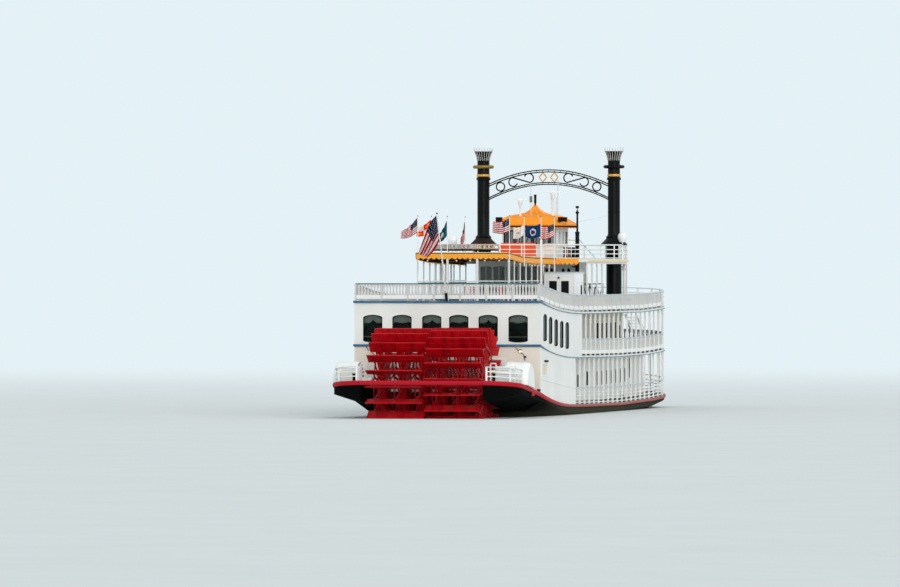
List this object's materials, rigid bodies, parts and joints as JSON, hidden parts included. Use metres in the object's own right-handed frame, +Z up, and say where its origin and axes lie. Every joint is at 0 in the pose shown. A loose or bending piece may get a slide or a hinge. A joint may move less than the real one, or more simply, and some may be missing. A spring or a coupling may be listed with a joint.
{
  "type": "stern paddle steamer, half-size model",
  "caption": "Three-deck river steamer at half size with a stern paddle wheel, hollow deckhouses, railed decks, canopy, pilothouse, twin stacks joined by an arch, and rudders.",
  "frame": {"origin": "under the middle of the overall length, on the hull's flat bottom, on the centre plane", "axes": "+X towards the bow, +Y to port, +Z up"},
  "size_m": [29.7204, 6.3, 9.825],
  "materials": {
    "white_paint": "satin white deck paint, slightly weathered",
    "hull_black": "black hull paint with a dull waterline",
    "guard_red": "red painted timber guard, scuffed",
    "wheel_red": "red painted wet timber and steel",
    "deck_paint": "grey deck paint with a blue edge",
    "canopy_yellow": "golden yellow roof paint",
    "stack_black": "gloss black stack paint with gold bands",
    "engine_iron": "grey iron",
    "rudder_black": "black paint",
    "ensign_cloth": "striped bunting"
  },
  "bodies": {
    "ship": {"bearing_cover_port": "white_paint", "bearing_cover_starboard": "white_paint", "bridge_deck": "white_paint", "bridge_posts_port": "white_paint", "bridge_posts_starboard": "white_paint", "bridge_rail": "white_paint", "canopy": "canopy_yellow", "canopy_frame_aft": "white_paint", "canopy_frame_port": "white_paint", "canopy_frame_starboard": "white_paint", "engine": "engine_iron", "ensign": "ensign_cloth", "ensign_staff": "white_paint", "fantail_port": "hull_black", "fantail_rail_port": "white_paint", "fantail_rail_starboard": "white_paint", "fantail_starboard": "hull_black", "guard_port": "guard_red", "guard_starboard": "guard_red", "hull": "hull_black", "main_bulkhead": "white_paint", "main_front_wall": "white_paint", "main_house_port": "white_paint", "main_house_starboard": "white_paint", "main_rail_port": "white_paint", "main_rail_starboard": "white_paint", "main_side_port": "white_paint", "main_side_starboard": "white_paint", "main_stern_wall": "white_paint", "mast": "stack_black", "pilothouse": "white_paint", "pilothouse_roof": "canopy_yellow", "second_bulkhead": "white_paint", "second_deck": "deck_paint", "second_front_wall": "white_paint", "second_house_port": "white_paint", "second_house_starboard": "white_paint", "second_rail_port": "white_paint", "second_rail_starboard": "white_paint", "second_side_port": "white_paint", "second_side_starboard": "white_paint", "second_stern_wall": "white_paint", "stack_arch": "stack_black", "stack_port": "stack_black", "stack_starboard": "stack_black", "stair_house": "white_paint", "stern_beam": "guard_red", "texas_house": "white_paint", "third_deck": "deck_paint", "third_rail_port": "white_paint", "third_rail_starboard": "white_paint", "third_rail_stern": "white_paint"},
    "wheel": {"wheel_port": "wheel_red", "wheel_shaft": "wheel_red", "wheel_starboard": "wheel_red"},
    "rudder_port": {"rudder_port": "rudder_black"},
    "rudder_starboard": {"rudder_starboard": "rudder_black"},
    "radar_port": {"radar_port": "white_paint"},
    "radar_starboard": {"radar_starboard": "white_paint"}
  },
  "joints": [
    {"name": "wheel_turn", "type": "hinge", "parent": "ship", "child": "wheel", "pos_m": [-12.7852, 0, 2.075], "axis": [0, 1, 0], "continuous": true},
    {"name": "rudder_port_turn", "type": "hinge", "parent": "ship", "child": "rudder_port", "pos_m": [-9.8352, 1.3, 0.3], "axis": [0, 0, 1], "range_deg": [-35, 35]},
    {"name": "rudder_starboard_turn", "type": "hinge", "parent": "ship", "child": "rudder_starboard", "pos_m": [-9.8352, -1.3, 0.3], "axis": [0, 0, 1], "range_deg": [-35, 35]},
    {"name": "radar_port_turn", "type": "hinge", "parent": "ship", "child": "radar_port", "pos_m": [3.3148, 0.36, 8.075], "axis": [0, 0, 1], "continuous": true},
    {"name": "radar_starboard_turn", "type": "hinge", "parent": "ship", "child": "radar_starboard", "pos_m": [3.3148, -0.74, 8.325], "axis": [0, 0, 1], "continuous": true}
  ],
  "couplings": [
    {"joint": "rudder_starboard_turn", "follows": "rudder_port_turn", "ratio": 1}
  ]
}
